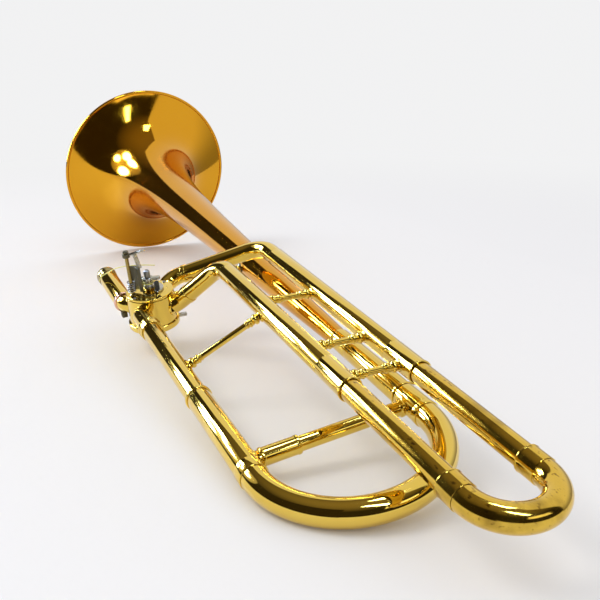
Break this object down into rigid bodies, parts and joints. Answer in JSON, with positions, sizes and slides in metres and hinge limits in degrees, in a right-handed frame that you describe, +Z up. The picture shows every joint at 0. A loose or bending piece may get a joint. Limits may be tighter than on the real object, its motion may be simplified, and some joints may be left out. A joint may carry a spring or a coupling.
{
  "type": "trombone",
  "caption": "Brass trombone bell section with a flared bell, main tuning slide, rotary valve, string-linked thumb lever and an open-wrap F loop.",
  "frame": {"origin": "middle of the bounding box on the ground the part lies on, the loose string not counted", "axes": "+Z up; +Y along the instrument towards the bell's mouth, which is raised 6.8 degrees; +X towards the bell's side"},
  "size_m": [0.2459, 0.8202, 0.2126],
  "materials": {
    "yellow_brass": "polished and lacquered",
    "gold_brass": "polished and lacquered gold brass",
    "aged_brass": "bare inner slide brass with speckled tarnish",
    "copper_tone": "polished, pinkish copper tone",
    "nickel_silver": "worn grey nickel silver",
    "steel": "dark satin",
    "rubber": "matt",
    "string_fibre": "braided fibre"
  },
  "bodies": {
    "bell_section": {"lever_post": "yellow_brass", "lever_post_nut": "nickel_silver", "lever_return_spring": "steel", "string_cross_lower": "string_fibre", "string_cross_upper": "string_fibre", "valve_casing": "yellow_brass", "rear_bearing_plate": "yellow_brass", "valve_cap": "yellow_brass", "bumper_plate": "nickel_silver", "bumper_rest": "rubber", "bumper_play": "rubber", "string_tail": "string_fibre", "bell": "gold_brass", "bell_rim_bead": "gold_brass", "bell_tail_ferrule": "yellow_brass", "bell_sleeve": "yellow_brass", "bell_sleeve_ring": "yellow_brass", "neckpipe": "yellow_brass", "neckpipe_ferrule": "yellow_brass", "neckpipe_knuckle": "yellow_brass", "receiver_knuckle": "yellow_brass", "receiver_ferrule": "copper_tone", "slide_receiver": "yellow_brass", "receiver_collar": "yellow_brass", "f_outlet_knuckle": "yellow_brass", "f_outlet_ferrule": "yellow_brass", "f_outlet_bend": "yellow_brass", "f_outlet_leg": "yellow_brass", "f_outlet_end_sleeve": "yellow_brass", "f_inlet_knuckle": "yellow_brass", "f_inlet_ferrule": "yellow_brass", "f_inlet_bend": "yellow_brass", "f_inlet_leg": "yellow_brass", "f_inlet_end_sleeve": "yellow_brass", "f_brace_upper": "yellow_brass", "f_brace_middle": "yellow_brass", "f_brace_lower": "yellow_brass", "neck_brace": "yellow_brass", "bell_brace": "yellow_brass", "bell_brace_saddle": "nickel_silver"},
    "rotor_body": {"rotor": "yellow_brass", "stop_arm": "nickel_silver", "stop_arm_screw": "steel", "string_on_hub": "string_fibre"},
    "lever_body": {"thumb_lever": "nickel_silver", "string_on_lever": "string_fibre"},
    "main_tuning_slide": {"slide_left_sleeve": "yellow_brass", "slide_left_ring": "yellow_brass", "slide_right_leg": "yellow_brass", "slide_right_ferrule": "yellow_brass", "tuning_crook": "yellow_brass", "crook_ferrule_right": "yellow_brass", "crook_ferrule_left": "yellow_brass", "tuning_brace": "yellow_brass", "tuning_brace_sleeve": "yellow_brass"},
    "f_tuning_slide": {"f_slide_outlet_leg": "aged_brass", "f_slide_outlet_ferrule": "aged_brass", "f_slide_inlet_leg": "aged_brass", "f_slide_inlet_ferrule": "aged_brass", "f_slide_crook": "aged_brass"}
  },
  "joints": [
    {"name": "rotor_turn", "type": "hinge", "parent": "bell_section", "child": "rotor_body", "pos_m": [-0.09248, 0.00773, 0.04373], "axis": [-0.1355, -0.1177, 0.9838], "range_deg": [0, 90]},
    {"name": "lever_turn", "type": "hinge", "parent": "bell_section", "child": "lever_body", "pos_m": [-0.10783, 0.005, 0.04129], "axis": [-0.1355, -0.1177, 0.9838], "range_deg": [-40.2, 0], "stiffness_Nm_per_rad": 0.05, "springref_deg": 20.05},
    {"name": "main_slide_pull", "type": "slide", "parent": "bell_section", "child": "main_tuning_slide", "axis": [0, -0.9929, -0.1188], "range_m": [0, 0.05]},
    {"name": "f_slide_pull", "type": "slide", "parent": "bell_section", "child": "f_tuning_slide", "axis": [0, -0.9929, -0.1188], "range_m": [-0.1, 0.02]}
  ],
  "couplings": [
    {"joint": "lever_turn", "follows": "rotor_turn", "ratio": -0.4466}
  ]
}
